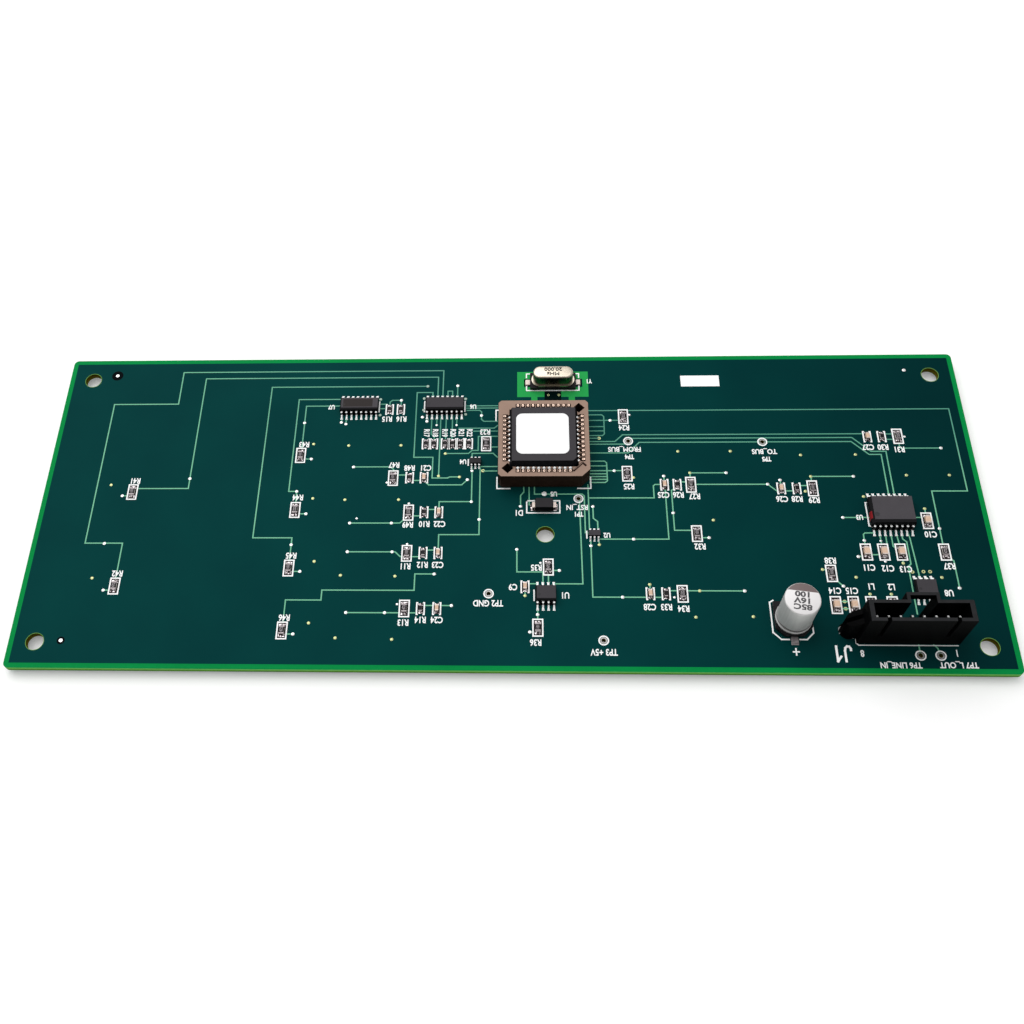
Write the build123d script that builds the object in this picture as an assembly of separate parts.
from build123d import *

import os

# Control interface circuit board: a bare card with surface-mounted parts and one latching header.
# Millimetres, +X along the board's length, +Y to its back edge, +Z up. The origin is under the
# middle of the board, level with the tips of the header's tails, on which the card rests.

# ---- Board ---------------------------------------------------------------------------------
BOARD_LENGTH = 230.0
BOARD_DEPTH = 88.0
BOARD_THICKNESS = 1.6
BOARD_CORNER_RADIUS = 1.2
COPPER_THICKNESS = 0.05
TAIL_LENGTH = 1.3                # how far the header's pins stand out under the board
BOARD_TOP = TAIL_LENGTH + BOARD_THICKNESS
SEAT = BOARD_TOP + COPPER_THICKNESS

MOUNT_HOLE_DIAMETER = 4.2
MOUNT_HOLE_END_INSET = 6.25      # hole centre from the board's short edge
MOUNT_HOLE_SIDE_INSET = 6.5      # hole centre from the board's long edge
TEST_HOLE_DIAMETER = 1.05
PLATED_HOLE_SIDES = 12           # small plated holes are drawn with flats
TRACK_WIDTH = 0.3

# ---- Small-outline circuits ----------------------------------------------------------------
SO_PITCH = 1.27
SO_END = 0.51                    # body beyond the centre of its last lead
SO_BODY_WIDTH = 3.9
SO_SPAN = 6.0
SO_HEIGHT = 1.7
SO_LEAD_WIDTH = 0.42
SO_LEAD_THICKNESS = 0.22
SO_FOOT = 0.55
SO_BEVEL = 0.3                   # along the top edge at the marked end
SHOULDER_SHARE = 0.45            # of a lead's run from body to heel, before it bends down
NARROW_LONG_COUNT = 16
NARROW_SHORT_COUNT = 8
WIDE_LEAD_COUNT = 16
WIDE_END = 0.7
WIDE_BODY_WIDTH = 7.5
WIDE_SPAN = 10.3
WIDE_HEIGHT = 2.5
WIDE_FOOT = 0.75
WIDE_BEVEL = 0.6
TINY_LEAD_COUNT = 6
TINY_PITCH = 0.95
TINY_END = 0.5
TINY_BODY_WIDTH = 1.6
TINY_SPAN = 2.8
TINY_HEIGHT = 1.15
TINY_LEAD_WIDTH = 0.4
TINY_LEAD_THICKNESS = 0.16
TINY_FOOT = 0.35
BODY_STANDOFF = 0.1
BODY_DRAFT = 10.0                # degrees, on every moulded body

# ---- Chip resistors, capacitors and beads --------------------------------------------------
LARGE_CHIP_LENGTH = 2.0
LARGE_CHIP_WIDTH = 1.25
LARGE_CHIP_BAND = 0.32           # metal cap at each end
LARGE_RESISTOR_HEIGHT = 0.55
LARGE_CAPACITOR_HEIGHT = 0.95
SMALL_CHIP_LENGTH = 1.6
SMALL_CHIP_WIDTH = 0.8
SMALL_CHIP_BAND = 0.25
SMALL_RESISTOR_HEIGHT = 0.45
SMALL_CAPACITOR_HEIGHT = 0.8

# ---- Chip carrier and its socket -----------------------------------------------------------
CARRIER_PITCH = 1.27
CARRIER_SIDE_COUNT = 11
CARRIER_BODY = 16.6
CARRIER_BODY_HEIGHT = 4.25
CARRIER_PARTING = 1.85           # leads and parting line above the chip's underside
CARRIER_TOP_DRAFT = 13.0         # degrees, above the parting line
CARRIER_CORNER = 1.1             # bevel beside lead one
CARRIER_LEAD_THICKNESS = 0.4
CARRIER_LEAD_WIDTH = 0.5
CARRIER_LEAD_DROP = 0.6          # lead bends hang this far below the body
LABEL_LENGTH = 12.9
LABEL_DEPTH = 11.8
LABEL_CORNER_RADIUS = 1.6
LABEL_THICKNESS = 0.12
LABEL_OFFSET = -0.3              # how far off the middle it is stuck, along the board
SOCKET_SIDE = 22.3
SOCKET_HEIGHT = 5.3
SOCKET_STANDOFF = 0.35
SOCKET_FLOOR = 2.8               # chip carrier's underside above the board
SOCKET_CLEARANCE = 0.15          # round the chip carrier's body
SOCKET_KEY_CORNER = 2.0          # large bevel that shows which way round it goes
SOCKET_PLAIN_CORNER = 0.7
SOCKET_SLOT_WIDTH = 0.75
SOCKET_SLOT_REACH = 9.95         # outer wall of the contact slots from the socket's middle
SOCKET_CONTACT_THICKNESS = 0.25
SOCKET_CONTACT_WIDTH = 0.5
SOCKET_CONTACT_FOOT = 1.1
SOCKET_PRY_HOLE = 2.1            # square extraction holes across two corners
SOCKET_PRY_OFFSET = 0.4          # their middles, beyond the pocket's corners
SOCKET_FOOT_SIDE = 1.6

# ---- Crystal -------------------------------------------------------------------------------
CRYSTAL_BASE_LENGTH = 11.8
CRYSTAL_BASE_DEPTH = 4.9
CRYSTAL_BASE_HEIGHT = 0.8
CRYSTAL_FLANGE_LENGTH = 11.0
CRYSTAL_FLANGE_DEPTH = 4.6
CRYSTAL_FLANGE_HEIGHT = 0.4
CRYSTAL_CAN_LENGTH = 9.9
CRYSTAL_CAN_DEPTH = 3.8
CRYSTAL_HEIGHT = 4.7
CRYSTAL_EDGE_RADIUS = 0.4
CRYSTAL_SPAN = 14.0
CRYSTAL_TERMINAL_WIDTH = 1.5
CRYSTAL_TERMINAL_THICKNESS = 0.25

# ---- Electrolytic capacitor ----------------------------------------------------------------
CAPACITOR_DIAMETER = 8.0
CAPACITOR_HEIGHT = 11.5
CAPACITOR_BASE_SIDE = 8.3
CAPACITOR_BASE_CORNER = 2.0
CAPACITOR_PLAIN_CORNER = 0.2
CAPACITOR_BASE_HEIGHT = 1.2
CAPACITOR_NECK_DEPTH = 0.35      # rolled groove above the foot of the can
CAPACITOR_NECK_HEIGHT = 1.1      # middle of that groove above the base plate
CAPACITOR_EDGE_BEVEL = 0.45
CAPACITOR_SPAN = 11.6
CAPACITOR_TERMINAL_WIDTH = 1.6
CAPACITOR_TERMINAL_THICKNESS = 0.25

# ---- Diode ---------------------------------------------------------------------------------
DIODE_LENGTH = 4.4
DIODE_DEPTH = 2.9
DIODE_HEIGHT = 2.3
DIODE_SPAN = 5.8
DIODE_TERMINAL_WIDTH = 1.5
DIODE_TERMINAL_THICKNESS = 0.25

# ---- Latching header -----------------------------------------------------------------------
HEADER_PITCH = 2.54
HEADER_PIN_COUNT = 8
HEADER_PIN_SIZE = 0.64
HEADER_PIN_HEIGHT = 9.4
HEADER_PIN_POINT = 0.2
HEADER_HOLE_DIAMETER = 1.02
HEADER_END = 2.5                 # housing beyond the centre of its last pin
HEADER_DEPTH = 5.0
HEADER_HEIGHT = 12.5
HEADER_FLOOR = 3.2
HEADER_WALL = 0.75
HEADER_END_WALL = 1.2
HEADER_RIM_BEVEL = 0.35
LATCH_WINDOW = 5.6
LATCH_OFFSET = 0.65              # the latch's middle, from the housing's middle
LATCH_DEPTH = 1.8                # how far the latch bridge stands behind the back wall
LATCH_STRAP_HEIGHT = 2.1
LATCH_RAIL = 0.7
KEY_SLOT_WIDTH = 0.9
KEY_SLOT_OFFSET = 7.35           # each key slot from the housing's middle
KEY_SLOT_BOTTOM = 4.2
PEG_DIAMETER = 3.6
PEG_HOLE_DIAMETER = 4.2
PEG_REACH = 1.45                 # peg centre from the housing's end
PEG_SETBACK = 0.6                # peg centre behind the row of pins
PEG_SLIT = 1.0
EAR_LOW = 5.3                    # height of the ear's tip, and of its root at the housing
EAR_HIGH = 8.2

# ---- Places --------------------------------------------------------------------------------
# The layout is drawn on a grid of 230 steps along the board and 88 across, from its middle.
STEP_X = BOARD_LENGTH / 230
STEP_Y = BOARD_DEPTH / 88

LARGE_RESISTOR_PLACES = [
    (-92.4, 3.0), (-92.4, -23.1),                                       # far left pair
    (-51.0, 13.7), (-50.9, -2.2), (-50.9, -18.2), (-50.9, -34.4),       # left column
    (-27.2, 6.9), (-22.9, -3.0), (-22.8, -14.2), (-22.7, -28.7),        # one to each input row
    (-4.2, 17.0), (30.4, 25.0), (30.6, 8.0), (45.9, 4.8),
    (75.0, 3.7), (97.6, 18.7), (46.3, -8.8), (10.9, -17.8),
    (8.3, -33.4), (41.8, -24.7), (76.4, -19.3), (103.2, -13.7),
]
SMALL_RESISTOR_PLACES = [
    (-29.2, 27.6), (-26.3, 27.6),
    (-19.4, 17.0), (-17.4, 17.0), (-14.6, 17.0), (-12.7, 17.0), (-10.7, 17.0), (-8.6, 17.0),
    (-23.1, 7.0), (-19.1, -2.9), (-18.9, -14.1), (-18.9, -28.7),
    (42.6, 4.8), (71.2, 3.7), (93.7, 18.6), (38.0, -24.7),
]
LARGE_CAPACITOR_PLACES = [
    (100.6, -5.3), (85.2, -13.7), (89.2, -13.7), (93.2, -13.7), (76.4, -27.4), (80.4, -27.4),
]
SMALL_CAPACITOR_PLACES = [
    (-19.5, 7.0), (-15.5, -2.9), (-15.3, -14.1), (-15.1, -28.7),
    (39.5, 4.8), (67.5, 3.7), (90.2, 18.6), (34.4, -24.7), (5.4, -23.0),
]
BEAD_PLACES = [(84.4, -27.4), (89.2, -27.4)]

NARROW_16_PLACES = {"switch_u7": (-37.0, 28.4), "switch_u6": (-15.0, 28.4)}
NARROW_8_PLACES = {"amplifier_u1": (10.2, -25.2), "regulator_u8": (96.9, -23.4)}
WIDE_16_PLACES = {"line_driver_u3": (92.2, -3.5)}
TINY_PLACES = {"gate_u4": (-6.8, 11.4), "gate_u2": (22.0, -9.1)}

SOCKET_PLACE = (10.1, 15.3)
CRYSTAL_PLACE = (12.8, 35.8)
CAPACITOR_PLACE = (66.0, -31.3)
DIODE_PLACE = (10.1, -1.5)
HEADER_PLACE = (90.9, -34.4)
CENTRE_HOLE_PLACE = (10.3, -9.0)
TEST_PLACES = [
    (-3.1, -24.8), (23.2, -36.5), (31.3, 17.6), (64.4, 17.2), (18.5, 0.9), (93.2, -39.7), (97.6, -39.7),
]


def spot(place):
    """A place on the layout grid, in millimetres."""
    return (place[0] * STEP_X, place[1] * STEP_Y)


def at(place, height=0.0):
    """The location of a place on the grid at a height above the origin."""
    x, y = spot(place)
    return Pos(x, y, height)


def save(name, solids):
    """Write one node, a single solid or a group of separate ones."""
    solids = list(solids)
    shape = solids[0] if len(solids) == 1 else Compound(children=solids)
    shape.label = name
    export_step(shape, os.path.join("parts", name + ".step"))


def split_solids(shape):
    return [solid for solid in shape.solids()]


# ---- Circuit board -------------------------------------------------------------------------
def mount_hole_places():
    """Centres of the four corner holes."""
    x = BOARD_LENGTH / 2 - MOUNT_HOLE_END_INSET
    y = BOARD_DEPTH / 2 - MOUNT_HOLE_SIDE_INSET
    return [(side_x * x, side_y * y) for side_x in (-1, 1) for side_y in (-1, 1)]


def header_pin_places():
    """Centres of the header's pins, from the left."""
    x, y = spot(HEADER_PLACE)
    first = x - (HEADER_PIN_COUNT - 1) * HEADER_PITCH / 2
    return [(first + index * HEADER_PITCH, y) for index in range(HEADER_PIN_COUNT)]


def header_length():
    return (HEADER_PIN_COUNT - 1) * HEADER_PITCH + 2 * HEADER_END


def peg_place():
    """Centre of the locating peg beside the header's left end."""
    x, y = spot(HEADER_PLACE)
    return (x - header_length() / 2 - PEG_REACH, y + PEG_SETBACK)


def test_holes():
    """Outlines of the open test holes."""
    outline = RegularPolygon(TEST_HOLE_DIAMETER / 2, PLATED_HOLE_SIDES)
    return [Pos(*spot(place)) * outline for place in TEST_PLACES]


def circuit_board():
    """The laminate with every hole that goes through it."""
    outline = RectangleRounded(BOARD_LENGTH, BOARD_DEPTH, BOARD_CORNER_RADIUS)
    holes = [Pos(x, y) * Circle(MOUNT_HOLE_DIAMETER / 2) for x, y in mount_hole_places()]
    holes.append(Pos(*spot(CENTRE_HOLE_PLACE)) * Circle(MOUNT_HOLE_DIAMETER / 2))
    holes.append(Pos(*peg_place()) * Circle(PEG_HOLE_DIAMETER / 2))
    holes += test_holes()
    pin_hole = RegularPolygon(HEADER_HOLE_DIAMETER / 2, PLATED_HOLE_SIDES)
    holes += [Pos(x, y) * pin_hole for x, y in header_pin_places()]
    face = outline - holes
    return Pos(0, 0, TAIL_LENGTH) * extrude(face, amount=BOARD_THICKNESS)


# ---- Copper pattern ------------------------------------------------------------------------
TRACKS = [
    # Long runs from the left switch to the far left resistors.
    [(-15.6, 31.2), (-15.6, 39.9), (-84.7, 39.9), (-84.7, 29.7), (-101.7, 29.7), (-101.7, -11.5),
     (-92.4, -11.5), (-92.4, -22.2)],
    [(-16.9, 31.2), (-16.9, 37.8), (-78.4, 37.8), (-78.4, 4.0), (-92.4, 4.0)],
    [(-19.6, 34.9), (-60.5, 34.9), (-60.5, -10.0), (-50.9, -10.0), (-50.9, -17.2)],
    [(-40.5, 30.9), (-53.0, 30.9), (-53.0, 3.1), (-51.0, 3.1), (-50.9, -1.4)],
    [(-40.5, 28.8), (-50.9, 28.8), (-50.9, 14.6)],
    # Stubs of the left column.
    [(-92.4, 1.9), (-94.8, 1.9)],
    [(-92.4, -24.2), (-94.9, -24.2)],
    [(-51.0, 12.6), (-48.2, 12.6)],
    [(-50.9, -3.3), (-48.1, -3.3)],
    [(-50.9, -19.1), (-48.1, -19.1)],
    [(-50.9, -35.3), (-48.2, -35.3)],
    # Round the two switches.
    [(-18.2, 31.2), (-18.2, 32.9), (-22.3, 32.9), (-22.3, 13.0), (-17.5, 13.0), (-17.5, 6.9),
     (-13.6, 6.9), (-13.2, 7.2), (-10.7, 7.2)],
    [(-14.3, 31.2), (-14.3, 33.3), (-13.1, 33.3), (-13.1, 31.2)],
    [(-11.8, 31.2), (-11.8, 35.0)],
    [(-32.0, 29.3), (-29.9, 29.3)],
    [(-32.0, 27.9), (-29.9, 27.9)],
    [(-29.2, 28.4), (-29.2, 29.9), (-28.6, 30.5), (-26.3, 30.5), (-26.3, 28.4)],
    [(-41.4, 25.4), (-41.4, 23.7)],
    [(-40.2, 25.4), (-40.2, 23.2)],
    [(-19.4, 25.4), (-19.4, 23.9)],
    [(-18.2, 25.4), (-18.2, 20.0), (-17.4, 19.2), (-17.4, 17.7)],
    [(-16.9, 25.4), (-16.9, 22.7)],
    [(-15.9, 25.4), (-15.9, 7.6)],
    [(-14.5, 25.4), (-14.5, 17.7)],
    [(-12.9, 25.4), (-12.9, 17.7)],
    [(-11.8, 25.4), (-11.8, 22.7)],
    [(-9.9, 28.6), (-1.3, 28.6)],
    [(-9.9, 27.9), (-1.3, 27.9)],
    [(-9.4, 27.2), (-6.0, 27.2), (-5.5, 26.7), (-5.5, 24.4), (-4.9, 23.8), (-1.3, 23.8)],
    [(-11.3, 21.7), (-2.2, 21.7), (-1.3, 22.6)],
    [(-7.6, 20.8), (-1.3, 20.8)],
    [(-14.4, 14.1), (-8.6, 14.1), (-7.7, 15.0), (-6.2, 15.0), (-6.2, 19.2), (-1.3, 19.2)],
    [(-4.2, 16.0), (-1.3, 16.0)],
    # Round the small gate left of the socket, and down to the input rows.
    [(-7.7, 12.6), (-7.7, 14.1), (-2.4, 14.1), (-1.3, 12.9)],
    [(-5.9, 10.2), (-1.3, 10.2)],
    [(-4.8, 8.9), (-1.3, 8.9)],
    [(-7.6, 10.2), (-7.6, 0.1), (-15.5, 0.1), (-15.5, -2.2)],
    [(-5.6, 10.2), (-5.6, -9.1), (-15.3, -9.1), (-15.3, -13.4)],
    # Four input rows.
    [(-37.3, 10.2), (-28.0, 10.2), (-27.2, 9.4), (-27.2, 7.8)],
    [(-27.2, 7.8), (-23.1, 7.8)],
    [(-23.1, 6.2), (-19.5, 6.2), (-18.3, 4.9), (-10.1, 4.9), (-8.7, 6.4)],
    [(-37.1, -5.9), (-24.9, -5.9), (-22.9, -3.9), (-19.1, -3.9)],
    [(-19.1, -2.1), (-15.5, -2.1)],
    [(-37.1, -13.8), (-25.6, -13.8), (-24.3, -15.1), (-18.9, -15.1)],
    [(-18.9, -13.3), (-15.3, -13.3)],
    [(-36.3, -29.8), (-18.9, -29.8)],
    [(-18.9, -27.9), (-11.7, -27.9)],
    [(-16.0, -19.7), (-20.6, -19.7), (-20.6, -24.0), (-42.4, -24.0), (-42.4, -26.6), (-50.8, -26.6),
     (-50.8, -33.6)],
    # Right of the socket.
    [(21.3, 26.9), (111.5, 26.9), (111.5, 2.9), (103.1, 2.9), (103.1, -12.8)],
    [(21.3, 25.6), (25.0, 25.6), (25.5, 25.1), (25.5, 19.8), (25.0, 19.3), (21.3, 19.3)],
    [(21.3, 23.9), (30.4, 23.9)],
    [(21.3, 22.0), (25.5, 22.0)],
    [(21.3, 20.7), (25.5, 20.7)],
    [(21.3, 18.5), (24.1, 18.5)],
    [(21.3, 17.5), (28.0, 17.5), (30.0, 19.5), (90.2, 19.5)],
    [(21.3, 16.7), (31.3, 16.7)],
    [(31.3, 18.4), (86.4, 18.4), (90.5, 14.3), (94.1, 14.3), (94.1, 1.0)],
    [(21.3, 14.1), (31.2, 14.1), (34.0, 17.2), (86.1, 17.2), (89.9, 13.4), (92.8, 13.4), (92.8, 1.0)],
    [(21.3, 11.7), (25.2, 11.7), (25.7, 11.2), (25.7, 6.0), (25.2, 5.5), (21.3, 5.5)],
    [(21.3, 10.3), (25.7, 10.3)],
    [(21.3, 8.9), (30.6, 8.9)],
    [(21.3, 8.0), (25.7, 8.0)],
    [(21.3, 7.2), (25.7, 7.2)],
    [(21.3, 6.4), (25.7, 6.4)],
    # Filters to the right.
    [(39.5, 7.3), (39.5, 5.4)],
    [(39.5, 4.9), (37.2, 4.9), (36.8, 4.5), (36.8, 1.1), (20.9, 1.1)],
    [(39.6, 4.2), (39.6, -10.3), (22.9, -10.3)],
    [(42.6, 4.2), (41.1, 3.2), (41.1, -7.9), (46.3, -7.9)],
    [(42.6, 5.6), (45.9, 5.6), (45.9, 8.2), (54.7, 8.2)],
    [(45.9, 4.9), (64.4, 4.9), (66.4, 3.0), (71.2, 3.0)],
    [(67.5, 6.1), (67.5, 4.4)],
    [(71.2, 4.5), (75.0, 4.5), (75.0, 7.1), (85.2, 7.1)],
    [(46.3, -9.9), (49.1, -9.9)],
    [(93.7, 19.4), (97.6, 19.4)],
    [(93.7, 17.8), (97.6, 17.8), (97.6, 15.2), (107.5, 15.2)],
    # In front of the socket.
    [(4.4, -1.2), (4.4, 1.8), (5.2, 2.8), (5.2, 5.0)],
    [(6.5, 5.0), (6.5, -1.0)],
    [(7.8, 5.0), (7.8, 2.2), (19.4, 2.2), (19.9, 1.7), (19.9, -8.6), (21.0, -8.6)],
    [(20.9, 5.0), (20.9, -7.8)],
    [(22.9, -7.8), (22.9, -5.5), (21.9, -4.6), (21.9, -1.3)],
    [(18.7, 0.9), (18.9, -22.2), (12.1, -22.2)],
    [(3.5, -13.1), (3.5, -19.1), (9.6, -19.1), (9.6, -22.3)],
    [(10.9, -18.7), (10.9, -22.3)],
    [(10.9, -18.7), (13.5, -18.7)],
    [(5.4, -22.2), (8.3, -22.2)],
    [(5.4, -23.8), (5.4, -25.3)],
    [(8.3, -28.0), (8.3, -32.6)],
    [(8.3, -34.3), (6.5, -34.5)],
    [(21.1, -10.2), (21.1, -25.6), (38.0, -25.6)],
    [(23.0, -10.2), (23.1, -11.8)],
    [(38.0, -23.9), (56.1, -23.9)],
    [(34.4, -22.3), (34.4, -24.0)],
    # Line driver, regulator and header.
    [(81.1, -4.4), (88.0, -4.4)],
    [(96.6, -4.4), (100.6, -4.4), (100.6, -2.0)],
    [(87.8, -8.0), (87.8, -8.6), (85.6, -8.6), (85.2, -9.0), (85.2, -12.8)],
    [(89.0, -8.0), (89.0, -12.8)],
    [(90.3, -8.0), (90.3, -11.6), (89.5, -12.6)],
    [(91.6, -8.0), (91.6, -12.2), (92.6, -12.9)],
    [(92.8, -8.0), (93.2, -12.8)],
    [(94.1, -8.0), (94.1, -10.2), (94.9, -11.0), (94.9, -16.8), (94.2, -17.5), (94.2, -29.7)],
    [(95.4, -8.0), (95.8, -10.0), (96.3, -20.4)],
    [(85.2, -14.4), (89.2, -14.4)],
    [(83.2, -14.9), (85.2, -14.6)],
    [(89.2, -14.6), (89.2, -16.2)],
    [(93.2, -14.6), (93.2, -16.6)],
    [(103.2, -14.6), (104.8, -16.0), (104.8, -23.0)],
    [(74.5, -18.3), (76.4, -18.5)],
    [(76.4, -20.2), (78.7, -22.6)],
    [(76.4, -26.5), (80.4, -26.5)],
    [(76.4, -28.3), (80.4, -28.3)],
    [(84.4, -24.6), (84.4, -26.6)],
    [(89.2, -24.6), (89.2, -26.6)],
    [(93.2, -39.7), (93.2, -37.0)],
    [(97.6, -39.7), (97.2, -37.9), (96.4, -37.0)],
]


def track(points):
    """One copper track of even width along straight runs."""
    return trace(Polyline(*[spot(point) for point in points]), line_width=TRACK_WIDTH)


def copper_pattern():
    """Tracks in one thin layer on the board's top face, clear of the test holes."""
    pattern = Sketch() + [track(points) for points in TRACKS] - test_holes()
    layer = Pos(0, 0, BOARD_TOP) * extrude(pattern, amount=COPPER_THICKNESS)
    return split_solids(layer)


# ---- Small-outline circuits ----------------------------------------------------------------
def moulded_body(length, width, top, lead_height, band, bevel=0.0):
    """An epoxy body: a flat band at the leads, drafted faces, and a bevel at its marked left end."""
    outline = Rectangle(length, width)
    upper_start = lead_height + band / 2
    lower_start = lead_height - band / 2
    middle = Pos(0, 0, lead_height) * Box(length, width, band)
    upper = Pos(0, 0, upper_start) * extrude(outline, amount=top - upper_start, taper=BODY_DRAFT)
    if bevel:
        upper = chamfer(upper.faces().sort_by(Axis.Z)[-1].edges().sort_by(Axis.X)[0], bevel)
    below = extrude(outline, amount=lower_start - BODY_STANDOFF, taper=BODY_DRAFT)
    lower = Pos(0, 0, lower_start) * Rot(180, 0, 0) * below
    return middle + upper + lower


def gull_wing(reach, height, thickness, foot, width):
    """One lead bent out, down and out again, from the body's side to its toe."""
    half = thickness / 2
    shoulder = (reach - foot) * SHOULDER_SHARE
    heel = reach - foot
    section = Polygon(
        (0, height + half), (shoulder, height + half), (heel + thickness / 2, thickness),
        (reach, thickness), (reach, 0), (heel, 0), (shoulder - thickness / 2, height - half),
        (0, height - half),
        align=None,
    )
    return extrude(Plane.YZ * section, amount=width / 2, both=True)


def lead_offsets(count, pitch):
    """Centres of a row of leads about its middle."""
    return [(index - (count - 1) / 2) * pitch for index in range(count)]


def circuit_leads(count, pitch, body_width, span, height, thickness, foot, width):
    """Two rows of gull-wing leads, along the front and back of a body."""
    lead = gull_wing((span - body_width) / 2, height, thickness, foot, width)
    leads = []
    for offset in lead_offsets(count // 2, pitch):
        leads.append(Pos(offset, body_width / 2, 0) * lead)
        leads.append(Rot(0, 0, 180) * Pos(offset, body_width / 2, 0) * lead)
    return leads


def save_circuit(name, place, body, leads):
    seat = at(place, SEAT)
    save(name + "_body", [seat * body])
    save(name + "_leads", [seat * lead for lead in leads])


def small_outline(count):
    """A narrow small-outline circuit with its leads."""
    length = (count // 2 - 1) * SO_PITCH + 2 * SO_END
    height = (SO_HEIGHT + BODY_STANDOFF) / 2
    body = moulded_body(length, SO_BODY_WIDTH, SO_HEIGHT, height, SO_LEAD_THICKNESS, SO_BEVEL)
    leads = circuit_leads(count, SO_PITCH, SO_BODY_WIDTH, SO_SPAN, height, SO_LEAD_THICKNESS, SO_FOOT,
                          SO_LEAD_WIDTH)
    return body, leads


def wide_outline():
    """The wide line driver with sixteen leads."""
    length = (WIDE_LEAD_COUNT // 2 - 1) * SO_PITCH + 2 * WIDE_END
    height = (WIDE_HEIGHT + BODY_STANDOFF) / 2
    body = moulded_body(length, WIDE_BODY_WIDTH, WIDE_HEIGHT, height, SO_LEAD_THICKNESS, WIDE_BEVEL)
    leads = circuit_leads(WIDE_LEAD_COUNT, SO_PITCH, WIDE_BODY_WIDTH, WIDE_SPAN, height, SO_LEAD_THICKNESS,
                          WIDE_FOOT, SO_LEAD_WIDTH)
    return body, leads


def tiny_outline():
    """A tiny gate with six leads."""
    length = (TINY_LEAD_COUNT // 2 - 1) * TINY_PITCH + 2 * TINY_END
    height = (TINY_HEIGHT + BODY_STANDOFF) / 2
    body = moulded_body(length, TINY_BODY_WIDTH, TINY_HEIGHT, height, TINY_LEAD_THICKNESS)
    leads = circuit_leads(TINY_LEAD_COUNT, TINY_PITCH, TINY_BODY_WIDTH, TINY_SPAN, height,
                          TINY_LEAD_THICKNESS, TINY_FOOT, TINY_LEAD_WIDTH)
    return body, leads


# ---- Chip parts ----------------------------------------------------------------------------
def save_chips(name, places, length, width, height, band):
    """Ceramic chips that lie along Y, with a metal cap over each end."""
    body = Box(width, length - 2 * band, height, align=(Align.CENTER, Align.CENTER, Align.MIN))
    cap = Box(width, band, height, align=(Align.CENTER, Align.CENTER, Align.MIN))
    reach = (length - band) / 2
    seats = [at(place, SEAT) for place in places]
    save(name + "_bodies", [seat * body for seat in seats])
    save(name + "_ends", [seat * Pos(0, side * reach, 0) * cap for seat in seats for side in (-1, 1)])


# ---- Chip carrier, label and socket --------------------------------------------------------
def bevelled_square(side, corners):
    """A square outline with a bevel at each corner, from the back right one anticlockwise."""
    half = side / 2
    back_right, back_left, front_left, front_right = corners
    return Polygon(
        (half, half - back_right), (half - back_right, half), (-half + back_left, half),
        (-half, half - back_left), (-half, -half + front_left), (-half + front_left, -half),
        (half - front_right, -half), (half, -half + front_right),
        align=None,
    )


def around(piece, offsets):
    """Copies of a piece on the right side, turned onto all four sides, at each offset along them."""
    copies = []
    for quarter in range(4):
        copies += [Rot(0, 0, 90 * quarter) * Pos(0, offset, 0) * piece for offset in offsets]
    return copies


def carrier_lead_top():
    """Height of the top of the chip's leads above the board."""
    return SOCKET_FLOOR + CARRIER_PARTING + CARRIER_LEAD_THICKNESS / 2


def carrier_body():
    """The square chip, with a bevel beside lead one and a steeper draft above its leads."""
    half = CARRIER_BODY / 2
    outline = Polygon(
        (half, half), (-half, half), (-half, -half), (half - CARRIER_CORNER, -half),
        (half, -half + CARRIER_CORNER),
        align=None,
    )
    band = CARRIER_LEAD_THICKNESS
    fall = CARRIER_PARTING - band / 2
    rise = CARRIER_BODY_HEIGHT - CARRIER_PARTING - band / 2
    slab = Pos(0, 0, SOCKET_FLOOR + fall) * extrude(outline, amount=band)
    upper = Pos(0, 0, carrier_lead_top()) * extrude(outline, amount=rise, taper=CARRIER_TOP_DRAFT)
    lower = Pos(0, 0, SOCKET_FLOOR + fall) * extrude(outline, amount=-fall, taper=BODY_DRAFT)
    return at(SOCKET_PLACE, BOARD_TOP) * (slab + upper + lower)


def carrier_leads():
    """Flat leads that leave the parting line and turn down beside the body."""
    top = carrier_lead_top()
    bottom = SOCKET_FLOOR - CARRIER_LEAD_DROP
    lead = Pos(CARRIER_BODY / 2, 0, bottom) * Box(
        CARRIER_LEAD_THICKNESS, CARRIER_LEAD_WIDTH, top - bottom,
        align=(Align.MIN, Align.CENTER, Align.MIN),
    )
    place = at(SOCKET_PLACE, BOARD_TOP)
    return [place * copy for copy in around(lead, lead_offsets(CARRIER_SIDE_COUNT, CARRIER_PITCH))]


def carrier_label():
    """The paper label on the chip's top face."""
    outline = RectangleRounded(LABEL_LENGTH, LABEL_DEPTH, LABEL_CORNER_RADIUS)
    top = BOARD_TOP + SOCKET_FLOOR + CARRIER_BODY_HEIGHT
    return at(SOCKET_PLACE, top) * Pos(LABEL_OFFSET, 0, 0) * extrude(outline, amount=LABEL_THICKNESS)


def pocket_side():
    return CARRIER_BODY + 2 * SOCKET_CLEARANCE


def socket_slots():
    """Plan of the contact slots, each open to the pocket and through the floor."""
    inner = CARRIER_BODY / 2 - CARRIER_LEAD_THICKNESS
    length = SOCKET_SLOT_REACH - inner
    slot = Pos(inner + length / 2, 0) * Rectangle(length, SOCKET_SLOT_WIDTH)
    return around(slot, lead_offsets(CARRIER_SIDE_COUNT, CARRIER_PITCH))


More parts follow.
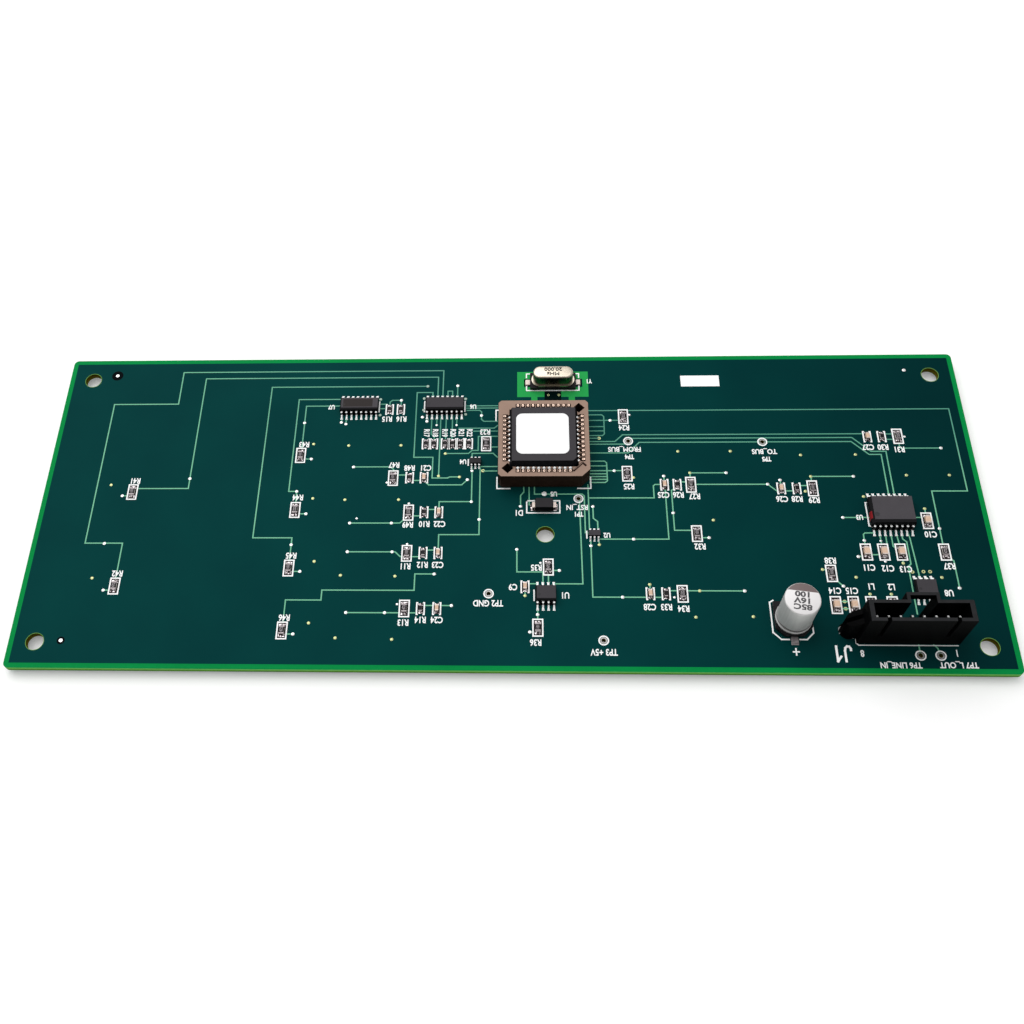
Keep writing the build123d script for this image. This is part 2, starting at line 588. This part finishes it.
def socket_housing():
    """The square socket: rim, pocket with a raised floor, contact slots and two extraction holes."""
    plain = SOCKET_PLAIN_CORNER
    outline = bevelled_square(SOCKET_SIDE, (plain, plain, plain, SOCKET_KEY_CORNER))
    pry_reach = pocket_side() / 2 + SOCKET_PRY_OFFSET
    pry_hole = Rot(0, 0, 45) * Rectangle(SOCKET_PRY_HOLE, SOCKET_PRY_HOLE)
    holes = socket_slots() + [Pos(side * pry_reach, side * pry_reach) * pry_hole for side in (-1, 1)]
    block = extrude(outline - holes, amount=SOCKET_HEIGHT - SOCKET_STANDOFF)
    pocket = Pos(0, 0, SOCKET_FLOOR - SOCKET_STANDOFF) * extrude(
        Rectangle(pocket_side(), pocket_side()), amount=SOCKET_HEIGHT
    )
    foot_reach = SOCKET_SIDE / 2 - SOCKET_KEY_CORNER - SOCKET_FOOT_SIDE / 2
    foot = Box(SOCKET_FOOT_SIDE, SOCKET_FOOT_SIDE, SOCKET_STANDOFF,
               align=(Align.CENTER, Align.CENTER, Align.MAX))
    feet = [Pos(side_x * foot_reach, side_y * foot_reach, 0) * foot
            for side_x in (-1, 1) for side_y in (-1, 1)]
    return at(SOCKET_PLACE, BOARD_TOP + SOCKET_STANDOFF) * (block - pocket + feet)


def socket_contact():
    """A spring strip: foot under the socket, leg up the slot, tip against the chip's lead."""
    outer = SOCKET_SLOT_REACH
    inner = outer - SOCKET_CONTACT_THICKNESS
    touch = CARRIER_BODY / 2 + CARRIER_LEAD_THICKNESS
    foot = SOCKET_CONTACT_THICKNESS
    top = SOCKET_FLOOR + CARRIER_PARTING
    section = Polygon(
        (outer, COPPER_THICKNESS), (outer, top), (touch, top), (touch, top - foot),
        (inner, top - foot), (inner, COPPER_THICKNESS + foot),
        (inner - SOCKET_CONTACT_FOOT, COPPER_THICKNESS + foot),
        (inner - SOCKET_CONTACT_FOOT, COPPER_THICKNESS),
        align=None,
    )
    return extrude(Plane.XZ * section, amount=SOCKET_CONTACT_WIDTH / 2, both=True)


def socket_contacts():
    place = at(SOCKET_PLACE, BOARD_TOP)
    offsets = lead_offsets(CARRIER_SIDE_COUNT, CARRIER_PITCH)
    return [place * copy for copy in around(socket_contact(), offsets)]


# ---- Crystal -------------------------------------------------------------------------------
def crystal_seat():
    """Height of the crystal's base plate, on top of its terminals."""
    return SEAT + CRYSTAL_TERMINAL_THICKNESS


def crystal_base():
    """The moulded plate under the can."""
    plate = RectangleRounded(CRYSTAL_BASE_LENGTH, CRYSTAL_BASE_DEPTH, CRYSTAL_EDGE_RADIUS)
    return at(CRYSTAL_PLACE, crystal_seat()) * extrude(plate, amount=CRYSTAL_BASE_HEIGHT)


def crystal_can():
    """The drawn can and its welded flange, with round ends."""
    flange = SlotOverall(CRYSTAL_FLANGE_LENGTH, CRYSTAL_FLANGE_DEPTH)
    shell = SlotOverall(CRYSTAL_CAN_LENGTH, CRYSTAL_CAN_DEPTH)
    rise = CRYSTAL_HEIGHT - CRYSTAL_TERMINAL_THICKNESS - CRYSTAL_BASE_HEIGHT
    can = extrude(shell, amount=rise)
    can = chamfer(can.faces().sort_by(Axis.Z)[-1].edges(), CRYSTAL_EDGE_RADIUS)
    can += extrude(flange, amount=CRYSTAL_FLANGE_HEIGHT)
    return at(CRYSTAL_PLACE, crystal_seat() + CRYSTAL_BASE_HEIGHT) * can


def crystal_terminals():
    """Two flat terminals that run out from under the base plate."""
    inner = CRYSTAL_BASE_LENGTH / 4
    length = CRYSTAL_SPAN / 2 - inner
    strip = Box(length, CRYSTAL_TERMINAL_WIDTH, CRYSTAL_TERMINAL_THICKNESS,
                align=(Align.MIN, Align.CENTER, Align.MIN))
    place = at(CRYSTAL_PLACE, SEAT)
    return [place * Rot(0, 0, turn) * Pos(inner, 0, 0) * strip for turn in (0, 180)]


# ---- Electrolytic capacitor ----------------------------------------------------------------
def capacitor_seat():
    return SEAT + CAPACITOR_TERMINAL_THICKNESS


def capacitor_base():
    """The moulded base plate, with two cut corners that mark the positive side."""
    corner = CAPACITOR_BASE_CORNER
    plain = CAPACITOR_PLAIN_CORNER
    plate = bevelled_square(CAPACITOR_BASE_SIDE, (plain, plain, corner, corner))
    return at(CAPACITOR_PLACE, capacitor_seat()) * extrude(plate, amount=CAPACITOR_BASE_HEIGHT)


def capacitor_can():
    """The aluminium can, with its rolled neck and bevelled top edge."""
    radius = CAPACITOR_DIAMETER / 2
    height = CAPACITOR_HEIGHT - CAPACITOR_TERMINAL_THICKNESS - CAPACITOR_BASE_HEIGHT
    neck = CAPACITOR_NECK_HEIGHT
    depth = CAPACITOR_NECK_DEPTH
    edge = CAPACITOR_EDGE_BEVEL
    section = Polygon(
        (0, 0), (radius - depth, 0), (radius, depth), (radius, neck - depth), (radius - depth, neck),
        (radius, neck + depth), (radius, height - edge), (radius - edge, height), (0, height),
        align=None,
    )
    can = revolve(Plane.XZ * section, axis=Axis.Z)
    return at(CAPACITOR_PLACE, capacitor_seat() + CAPACITOR_BASE_HEIGHT) * can


def capacitor_terminals():
    """Two flat terminals, one out of the front of the base plate and one out of its back."""
    inner = CAPACITOR_BASE_SIDE / 6
    length = CAPACITOR_SPAN / 2 - inner
    strip = Box(CAPACITOR_TERMINAL_WIDTH, length, CAPACITOR_TERMINAL_THICKNESS,
                align=(Align.CENTER, Align.MIN, Align.MIN))
    place = at(CAPACITOR_PLACE, SEAT)
    return [place * Rot(0, 0, turn) * Pos(0, inner, 0) * strip for turn in (0, 180)]


# ---- Diode ---------------------------------------------------------------------------------
def diode_body():
    """The moulded rectifier body."""
    middle = DIODE_HEIGHT / 2
    body = moulded_body(DIODE_LENGTH, DIODE_DEPTH, DIODE_HEIGHT, middle, DIODE_TERMINAL_THICKNESS)
    return at(DIODE_PLACE, SEAT) * body


def diode_terminals():
    """Two strips that leave the body half way up and fold down to the board."""
    middle = DIODE_HEIGHT / 2
    half = DIODE_TERMINAL_THICKNESS / 2
    inner = DIODE_LENGTH / 2
    outer = DIODE_SPAN / 2
    section = Polygon(
        (inner, middle + half), (outer, middle + half), (outer, 0), (outer - 2 * half, 0),
        (outer - 2 * half, middle - half), (inner, middle - half),
        align=None,
    )
    strip = extrude(Plane.XZ * section, amount=DIODE_TERMINAL_WIDTH / 2, both=True)
    place = at(DIODE_PLACE, SEAT)
    return [place * strip, place * Rot(0, 0, 180) * strip]


# ---- Latching header -----------------------------------------------------------------------
def header_shell():
    """Outer walls with the bevelled rim, the cavity, the latch window and the key slots."""
    length = header_length()
    shell = Box(length, HEADER_DEPTH, HEADER_HEIGHT, align=(Align.CENTER, Align.CENTER, Align.MIN))
    top = shell.faces().sort_by(Axis.Z)[-1]
    shell = chamfer(top.edges().filter_by(Axis.Y), HEADER_RIM_BEVEL)
    cavity = Pos(0, 0, HEADER_FLOOR) * Box(
        length - 2 * HEADER_END_WALL, HEADER_DEPTH - 2 * HEADER_WALL, HEADER_HEIGHT,
        align=(Align.CENTER, Align.CENTER, Align.MIN),
    )
    window = Pos(LATCH_OFFSET, HEADER_DEPTH / 2, HEADER_FLOOR) * Box(
        LATCH_WINDOW, 2 * HEADER_WALL, HEADER_HEIGHT, align=(Align.CENTER, Align.CENTER, Align.MIN)
    )
    slot = Pos(0, -HEADER_DEPTH / 2, KEY_SLOT_BOTTOM) * Box(
        KEY_SLOT_WIDTH, 2 * HEADER_WALL, HEADER_HEIGHT, align=(Align.CENTER, Align.CENTER, Align.MIN)
    )
    slots = [Pos(side * KEY_SLOT_OFFSET, 0, 0) * slot for side in (-1, 1)]
    return shell - cavity - window - slots


def latch_bridge():
    """Two rails behind the window and the strap across their tops."""
    back = HEADER_DEPTH / 2
    reach = (LATCH_WINDOW + LATCH_RAIL) / 2
    rail = Box(LATCH_RAIL, LATCH_DEPTH, HEADER_HEIGHT, align=(Align.CENTER, Align.MIN, Align.MIN))
    strap = Pos(LATCH_OFFSET, back + LATCH_DEPTH, HEADER_HEIGHT) * Box(
        LATCH_WINDOW + 2 * LATCH_RAIL, LATCH_RAIL, LATCH_STRAP_HEIGHT,
        align=(Align.CENTER, Align.MAX, Align.MAX),
    )
    return [strap] + [Pos(LATCH_OFFSET + side * reach, back, 0) * rail for side in (-1, 1)]


def locating_ear():
    """The split ear and peg at the header's left end, with a slope from the wall to its tip."""
    end = -header_length() / 2
    below = BOARD_THICKNESS + TAIL_LENGTH / 2
    centre = Pos(end - PEG_REACH, PEG_SETBACK)
    web = Pos(end, PEG_SETBACK) * Rectangle(PEG_REACH, PEG_DIAMETER, align=(Align.MAX, Align.CENTER))
    post = extrude(centre * Circle(PEG_DIAMETER / 2) + web, amount=EAR_HIGH)
    tip = PEG_REACH + PEG_DIAMETER / 2
    slope = Polygon((end, EAR_HIGH), (end - tip, EAR_LOW), (end - tip, EAR_HIGH), align=None)
    post -= extrude(Plane.XZ * slope, amount=PEG_DIAMETER + PEG_SETBACK, both=True)
    peg = centre * Pos(0, 0, -below) * Cylinder(
        PEG_DIAMETER / 2, below, align=(Align.CENTER, Align.CENTER, Align.MIN)
    )
    slit = Pos(end, PEG_SETBACK, -below) * Box(
        2 * tip, PEG_SLIT, below + EAR_HIGH, align=(Align.MAX, Align.CENTER, Align.MIN)
    )
    return post + peg - slit


def header_housing():
    """The moulded housing, seated on the board, with a square hole for each pin."""
    hole = Box(HEADER_PIN_SIZE, HEADER_PIN_SIZE, HEADER_FLOOR,
               align=(Align.CENTER, Align.CENTER, Align.MIN))
    holes = [Pos(offset, 0, 0) * hole for offset in lead_offsets(HEADER_PIN_COUNT, HEADER_PITCH)]
    housing = header_shell() + latch_bridge() + locating_ear() - holes
    return at(HEADER_PLACE, BOARD_TOP) * housing


def header_pins():
    """Square pins from the tips of their tails to their points in the cavity."""
    height = BOARD_TOP + HEADER_PIN_HEIGHT
    pin = Box(HEADER_PIN_SIZE, HEADER_PIN_SIZE, height, align=(Align.CENTER, Align.CENTER, Align.MIN))
    ends = pin.faces().filter_by(Axis.Z).edges()
    pin = chamfer(ends, HEADER_PIN_POINT)
    return [Pos(x, y, 0) * pin for x, y in header_pin_places()]


# ---- Write every node ----------------------------------------------------------------------
os.makedirs("parts", exist_ok=True)

save("circuit_board", [circuit_board()])
save("copper_pattern", copper_pattern())

for circuit, place in NARROW_16_PLACES.items():
    save_circuit(circuit, place, *small_outline(NARROW_LONG_COUNT))
for circuit, place in NARROW_8_PLACES.items():
    save_circuit(circuit, place, *small_outline(NARROW_SHORT_COUNT))
for circuit, place in WIDE_16_PLACES.items():
    save_circuit(circuit, place, *wide_outline())
for circuit, place in TINY_PLACES.items():
    save_circuit(circuit, place, *tiny_outline())

save_chips("large_resistor", LARGE_RESISTOR_PLACES, LARGE_CHIP_LENGTH, LARGE_CHIP_WIDTH,
           LARGE_RESISTOR_HEIGHT, LARGE_CHIP_BAND)
save_chips("small_resistor", SMALL_RESISTOR_PLACES, SMALL_CHIP_LENGTH, SMALL_CHIP_WIDTH,
           SMALL_RESISTOR_HEIGHT, SMALL_CHIP_BAND)
save_chips("large_capacitor", LARGE_CAPACITOR_PLACES, LARGE_CHIP_LENGTH, LARGE_CHIP_WIDTH,
           LARGE_CAPACITOR_HEIGHT, LARGE_CHIP_BAND)
save_chips("small_capacitor", SMALL_CAPACITOR_PLACES, SMALL_CHIP_LENGTH, SMALL_CHIP_WIDTH,
           SMALL_CAPACITOR_HEIGHT, SMALL_CHIP_BAND)
save_chips("ferrite_bead", BEAD_PLACES, LARGE_CHIP_LENGTH, LARGE_CHIP_WIDTH, LARGE_CAPACITOR_HEIGHT,
           LARGE_CHIP_BAND)

save("socket_housing", [socket_housing()])
save("socket_contacts", socket_contacts())
save("carrier_body", [carrier_body()])
save("carrier_leads", carrier_leads())
save("carrier_label", [carrier_label()])

save("crystal_base", [crystal_base()])
save("crystal_can", [crystal_can()])
save("crystal_terminals", crystal_terminals())
save("capacitor_base", [capacitor_base()])
save("capacitor_can", [capacitor_can()])
save("capacitor_terminals", capacitor_terminals())
save("diode_body", [diode_body()])
save("diode_terminals", diode_terminals())
save("header_housing", [header_housing()])
save("header_pins", header_pins())
